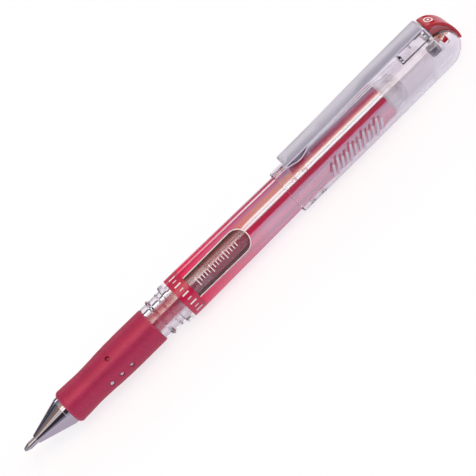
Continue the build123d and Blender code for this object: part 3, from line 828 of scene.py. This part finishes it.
class PEN_OT_window_print(bpy.types.Operator):
    """Print the line round the see-through window and the ink scale inside it"""

    bl_idname = "pen.window_print"
    bl_label = "Window Print"

    def execute(self, context):
        colours, sizes = context.scene.pen_colours, context.scene.pen_sizes
        white = screen_print("white screen print", colours.print, 1.5, 0.4)
        turn_x, steps = FOIL_FRONT + WINDOW_LENGTH - WINDOW_HALF, 24
        rim = [(FOIL_FRONT, -WINDOW_HALF)]
        for i in range(steps + 1):
            angle = -math.pi / 2 + math.pi * i / steps
            along = turn_x + WINDOW_HALF * math.cos(angle)
            rim.append((along, WINDOW_END * WINDOW_HALF * math.sin(angle)))
        rim.append((FOIL_FRONT, WINDOW_HALF))
        drawn = {"Width": sizes.rim_width, "Depth": sizes.print_depth, "Radius": FOIL_RADIUS}
        line = grow("rim", flat_path("rim", rim), line_tree(), {**WRAP_INPUTS, **drawn}, white)
        finished(line, "window_rim", "barrel", white)
        print_strokes(
            "ink_scale",
            {
                "Count": sizes.tick_count,
                "Every": 5,
                "Start along": FOIL_FRONT + SCALE_START,
                "Step along": sizes.tick_pitch,
                "Along": sizes.tick_width,
                "Round": sizes.tick_length,
                "Depth": sizes.print_depth,
                "Short": 0.5,
            },
            "barrel",
            white,
        )
        print_strokes(
            "band_dashes",
            {
                "Count": sizes.dash_count,
                "Every": 2,
                "Radius": FOIL_RADIUS,
                "Start along": (corner("print_band", 0, 0) + corner("print_band", 1, 0)) / 2,
                "Start round": -sizes.dash_pitch * (sizes.dash_count - 1) / 2,
                "Step round": sizes.dash_pitch,
                "Along": sizes.dash_length,
                "Round": sizes.dash_width,
                "Depth": sizes.print_depth,
                "Short": 0.6,
            },
            "barrel",
            white,
        )
        return {"FINISHED"}


# The raised bars: from the cap's mouth to the first, how far they stand out, and their azimuth and lean
BARS_START = 13.0 * MM
BARS_STAND = 0.16 * MM
BARS_AZIMUTH = math.radians(92.0)
BARS_LEAN = math.radians(-28.0)


class PEN_OT_cap(bpy.types.Operator):
    """Finish the clear cap and its raised bars, its inner cup and the soft seal in it"""

    bl_idname = "pen.cap"
    bl_label = "Cap"

    def execute(self, context):
        colours, sizes = context.scene.pen_colours, context.scene.pen_sizes
        paint("cap_shell", clear_polystyrene("clear polystyrene cap", colours.cap))
        paint("inner_cap", thin_clear("clear polypropylene cup", colours.cap, 0.05, colours.print))
        paint("tip_seal", gloss_moulding("soft elastomer seal", colours.seal, 0.5, 0.0))
        print_strokes(
            "bar_faces",
            {
                "Count": sizes.bar_count,
                "Every": 3,
                "First": 2,
                "Radius": CAP_MOUTH_RADIUS + BARS_STAND,
                "Taper": CAP_TAPER,
                "Taper start": CAP_MOUTH,
                "Azimuth": BARS_AZIMUTH,
                "Start along": CAP_MOUTH + BARS_START,
                "Step along": sizes.bar_pitch,
                "Along": sizes.bar_width,
                "Round": sizes.bar_length,
                "Depth": sizes.print_depth,
                "Short": 2 / 3,
                "Lean": BARS_LEAN,
            },
            "cap",
            frosted("frosted polystyrene", colours.frost, 0.35),
        )
        return {"FINISHED"}


# The printed ring and dot on the plug: inner and outer radius, how far along the plug their middle is,
# how much shorter they are along it, how thick the print stands and into how many steps they are cut
PLUG_MARKS = (("plug_ring", 0.95 * MM, 1.3 * MM), ("plug_dot", 0.0, 0.42 * MM))
MARK_MIDDLE = 0.36
MARK_SQUEEZE = 0.85
MARK_DEPTH = 0.02 * MM
MARK_STEPS = 48


class PEN_OT_end_plug(bpy.types.Operator):
    """Finish the red plug in the cap's end and print its ring and dot"""

    bl_idname = "pen.end_plug"
    bl_label = "End Plug"

    def execute(self, context):
        colours = context.scene.pen_colours
        paint("end_plug", gloss_moulding("red polystyrene", colours.plug, 0.12, 0.0))
        white = screen_print("white pad print", colours.print, 1.5, 0.4)
        for name, inner, outer in PLUG_MARKS:
            self.mark(name, inner, outer, white)
        return {"FINISHED"}

    def mark(self, name, inner, outer, material):
        """A printed ring or dot that lies on the plug's curved skin."""
        front, back = corner("end_plug", 0, 0), corner("end_plug", 1, 0)
        length_along, rise = back - front, corner("end_plug", 1, 2) - AXIS_HEIGHT
        work = bmesh.new()
        rings = []
        for radius, lift in ((inner, 0.0), (inner, MARK_DEPTH), (outer, MARK_DEPTH), (outer, 0.0)):
            ring = []
            for i in range(MARK_STEPS):
                angle = math.tau * i / MARK_STEPS
                along = MARK_MIDDLE + MARK_SQUEEZE * radius * math.cos(angle) / length_along
                skin = AXIS_HEIGHT + rise * math.sqrt(1 - along * along)
                place = (front + along * length_along, radius * math.sin(angle), skin + lift)
                ring.append(work.verts.new(place))
            rings.append(ring)
        for ring, after in zip(rings, rings[1:] + rings[:1]):
            for i in range(MARK_STEPS):
                j = (i + 1) % MARK_STEPS
                work.faces.new((ring[i], ring[j], after[j], after[i]))
        bmesh.ops.remove_doubles(work, verts=work.verts, dist=MERGE)
        bmesh.ops.recalc_face_normals(work, faces=work.faces)
        data = bpy.data.meshes.new(name)
        work.to_mesh(data)
        work.free()
        data.materials.append(material)
        piece = bpy.data.objects.new(name, data)
        bpy.context.scene.collection.objects.link(piece)
        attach(piece, "cap")


class PEN_OT_clip(bpy.types.Operator):
    """Make the clip with its rounded edges"""

    bl_idname = "pen.clip"
    bl_label = "Clip"

    def execute(self, context):
        colours, sizes = context.scene.pen_colours, context.scene.pen_sizes
        work = bmesh.new()
        work.from_mesh(NODES["clip"].data)
        bmesh.ops.remove_doubles(work, verts=work.verts, dist=MERGE)
        flat = math.radians(0.5)
        bmesh.ops.dissolve_limit(work, angle_limit=flat, verts=work.verts, edges=work.edges)
        for face in work.faces:
            face.smooth = True
        data = bpy.data.meshes.new("clip_strip")
        work.to_mesh(data)
        work.free()
        strip = bpy.data.objects.new("clip_work", data)
        context.scene.collection.objects.link(strip)
        bevel = strip.modifiers.new("rounded edges", "BEVEL")
        bevel.width = sizes.clip_edge
        bevel.segments = 3
        bevel.limit_method = "ANGLE"
        bevel.angle_limit = math.radians(40)
        bevel.harden_normals = True
        steel = satin_plate(colours.steel)
        piece = finished(strip, "clip_strip", "clip", steel)
        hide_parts("clip")
        return {"FINISHED"}


# ------------------------------------------------------------------------- studio

# The lit surround, by the angle about the pen's length from the camera's direction towards the clip,
# in degrees: colour and strength. The strips run along the pen.
LIGHT_BANDS = (
    (-60, "#DCD8F0", 0.8),
    (-25, "#DCD8F0", 0.8),
    (-20, "#D8C8D0", 0.06),
    (9, "#D8C8D0", 0.06),
    (12, "#FFFAF6", 2.2),
    (23, "#FFFAF6", 2.2),
    (24, "#FFE8E0", 0.5),
    (26, "#FFE8E0", 0.5),
    (28, "#FFF4E8", 2.4),
    (36, "#FFF4E8", 2.4),
    (41, "#FFDCB8", 0.8),
    (69, "#FFDCB8", 0.72),
    (75, "#D0DCFF", 0.6),
    (88, "#D0DCFF", 0.55),
    (95, "#D0C8D8", 0.1),
    (103, "#D0C8D8", 0.1),
    (108, "#FFFFFF", 1.8),
    (116, "#FFFFFF", 1.8),
    (121, "#D8C8D0", 0.15),
    (150, "#D8C8D0", 0.15),
)
# How much of the strips is there, by the part of a direction that lies along the pen
STRIP_LENGTH = ((-1.0, 0.5), (-0.36, 0.5), (-0.2, 1.0), (0.45, 1.0), (0.6, 0.9), (1.0, 0.9))
# Two soft panels past the pen's ends
END_PANELS = ((-1.0, 0.8), (-0.74, 0.8), (-0.66, 0.03), (0.72, 0.0), (0.8, 1.9), (1.0, 1.9))
# The floor: its radius and how far it lies under the pen
FLOOR_RADIUS = 1.5
FLOOR_DROP = 0.02 * MM
# How the floor's paper glows and how matt it is, as the camera sees it and as it lights the pen
PAPER_SEEN = (0.81, 0.34)
PAPER_BOUNCE = (0.5, 0.65)
# How far above the pen's axis the camera looks
AIM_ABOVE = 0.61 * MM


class PEN_OT_stage(bpy.types.Operator):
    """Lay the floor and set the studio light and the camera"""

    bl_idname = "pen.stage"
    bl_label = "Stage"

    def execute(self, context):
        studio, colours = context.scene.pen_studio, context.scene.pen_colours
        scene = context.scene
        scene.view_settings.view_transform = "Standard"
        toward = Vector((0.0, -math.cos(studio.elevation), math.sin(studio.elevation)))
        above = Vector((0.0, math.sin(studio.elevation), math.cos(studio.elevation)))
        self.floor(scene, colours)
        self.light(scene, studio, colours, toward, above)
        self.camera(scene, studio, toward, above)
        return {"FINISHED"}

    def floor(self, scene, colours):
        """A wide flat floor under the pen."""
        data = bpy.data.meshes.new("floor")
        work = bmesh.new()
        bmesh.ops.create_circle(work, cap_ends=True, radius=FLOOR_RADIUS, segments=96)
        for vertex in work.verts:
            vertex.co.z = -FLOOR_DROP
        work.to_mesh(data)
        work.free()
        floor = bpy.data.objects.new("floor", data)
        scene.collection.objects.link(floor)
        material, tree = new_material("matt studio paper")
        looks = {
            0: add(tree, "ShaderNodeLightPath").outputs["Is Camera Ray"],
            1: self.paper(tree, colours.bounce, *PAPER_BOUNCE),
            2: self.paper(tree, colours.floor, *PAPER_SEEN),
        }
        data.materials.append(surfaced(material, add(tree, "ShaderNodeMixShader", looks)))

    def paper(self, tree, shade, glow, matt):
        """Translucent paper, lit from below by glow and from above by what it scatters."""
        below = add(tree, "ShaderNodeEmission", {"Color": rgba(shade), "Strength": glow})
        over = add(tree, "ShaderNodeBsdfDiffuse", {"Color": scaled(shade, matt)})
        return add(tree, "ShaderNodeAddShader", {0: below, 1: over})

    def light(self, scene, studio, colours, toward, above):
        """Soft strip lights that run the pen's length, as one lit surround."""
        world = bpy.data.worlds.new("studio")
        scene.world = world
        world.use_nodes = True
        tree = world.node_tree
        tree.nodes.clear()
        direction = add(tree, "ShaderNodeTexCoord").outputs["Generated"]
        ahead, up = (
            add(tree, "ShaderNodeVectorMath", {0: direction, 1: way}, operation="DOT_PRODUCT")
            for way in (toward, above)
        )
        angle = add(tree, "ShaderNodeMath", {0: up, 1: ahead}, operation="ARCTAN2")
        turn = add(tree, "ShaderNodeMath", {0: angle, 1: math.pi}, operation="DIVIDE")
        bands = [(degrees / 180, linear(code), strength) for degrees, code, strength in LIGHT_BANDS]
        strips = self.stepped(tree, turn, bands)
        along = add(tree, "ShaderNodeSeparateXYZ", {"Vector": direction})
        reach, ends = (
            self.stepped(tree, along, [(x, WHITE, level) for x, level in stops])
            for stops in (STRIP_LENGTH, END_PANELS)
        )
        kept = add(tree, "ShaderNodeVectorMath", {0: strips, 1: reach}, operation="MULTIPLY")
        total = add(tree, "ShaderNodeVectorMath", {0: kept, 1: ends}, operation="ADD")
        looks = {
            0: add(tree, "ShaderNodeLightPath").outputs["Is Camera Ray"],
            1: add(tree, "ShaderNodeBackground", {"Color": total, "Strength": studio.light}),
            2: add(tree, "ShaderNodeBackground", {"Color": rgba(colours.backdrop)}),
        }
        surround = add(tree, "ShaderNodeMixShader", looks)
        add(tree, "ShaderNodeOutputWorld", {"Surface": surround})

    def stepped(self, tree, value, stops):
        """A colour that follows a value from -1 to 1 through stops of (value, colour, strength)."""
        span = add(tree, "ShaderNodeMapRange", {"Value": value, "From Min": -1.0, "From Max": 1.0})
        ramp = add(tree, "ShaderNodeValToRGB", {"Fac": span})
        elements = ramp.color_ramp.elements
        while len(elements) > 1:
            elements.remove(elements[-1])
        for i, (place, shade, strength) in enumerate(stops):
            position = (place + 1) / 2
            element = elements[0] if i == 0 else elements.new(position)
            element.position = position
            element.color = rgba([c * strength for c in shade[:3]])
        return ramp

    def camera(self, scene, studio, toward, above):
        """The camera, square on to the pen's length and turned so that the pen rises to the right."""
        data = bpy.data.cameras.new("camera")
        data.lens = studio.lens
        camera = bpy.data.objects.new("camera", data)
        scene.collection.objects.link(camera)
        along = Vector((1.0, 0.0, 0.0))
        right = along * math.cos(studio.roll) - above * math.sin(studio.roll)
        upward = along * math.sin(studio.roll) + above * math.cos(studio.roll)
        distance = studio.frame_width * studio.lens / data.sensor_width
        middle = Vector((0.0, 0.0, AXIS_HEIGHT)) + above * AIM_ABOVE
        turn = Matrix((right, upward, toward)).transposed()
        camera.matrix_world = Matrix.Translation(middle + toward * distance) @ turn.to_4x4()
        scene.camera = camera


# ------------------------------------------------------------------------- panel and registration

OPERATORS = (
    PEN_OT_writing_point,
    PEN_OT_nose_cone,
    PEN_OT_grip,
    PEN_OT_nubs,
    PEN_OT_front_section,
    PEN_OT_refill,
    PEN_OT_barrel,
    PEN_OT_window_print,
    PEN_OT_cap,
    PEN_OT_end_plug,
    PEN_OT_clip,
    PEN_OT_stage,
)
SETTINGS = {"pen_colours": PenColours, "pen_sizes": PenSizes, "pen_studio": PenStudio}


class PEN_PT_sidebar(bpy.types.Panel):
    """The pen's settings and the operators that make it"""

    bl_idname = "PEN_PT_sidebar"
    bl_label = "Gel Pen"
    bl_space_type = "VIEW_3D"
    bl_region_type = "UI"
    bl_category = "Gel Pen"

    def draw(self, context):
        layout = self.layout
        for operator in OPERATORS:
            layout.operator(operator.bl_idname)
        for name, group in SETTINGS.items():
            box = layout.box()
            for field in group.__annotations__:
                box.prop(getattr(context.scene, name), field)


def register():
    """Registers the settings, the operators and the panel."""
    for kind in (*SETTINGS.values(), *OPERATORS, PEN_PT_sidebar):
        bpy.utils.register_class(kind)
    for name, group in SETTINGS.items():
        setattr(bpy.types.Scene, name, PointerProperty(type=group))


def unregister():
    """Takes them out again."""
    for name in SETTINGS:
        delattr(bpy.types.Scene, name)
    for kind in reversed((*SETTINGS.values(), *OPERATORS, PEN_PT_sidebar)):
        bpy.utils.unregister_class(kind)


def main():
    """Makes the pen and its stage."""
    register()
    for operator in OPERATORS:
        group, name = operator.bl_idname.split(".")
        getattr(getattr(bpy.ops, group), name)()


if __name__ == "__main__":
    main()
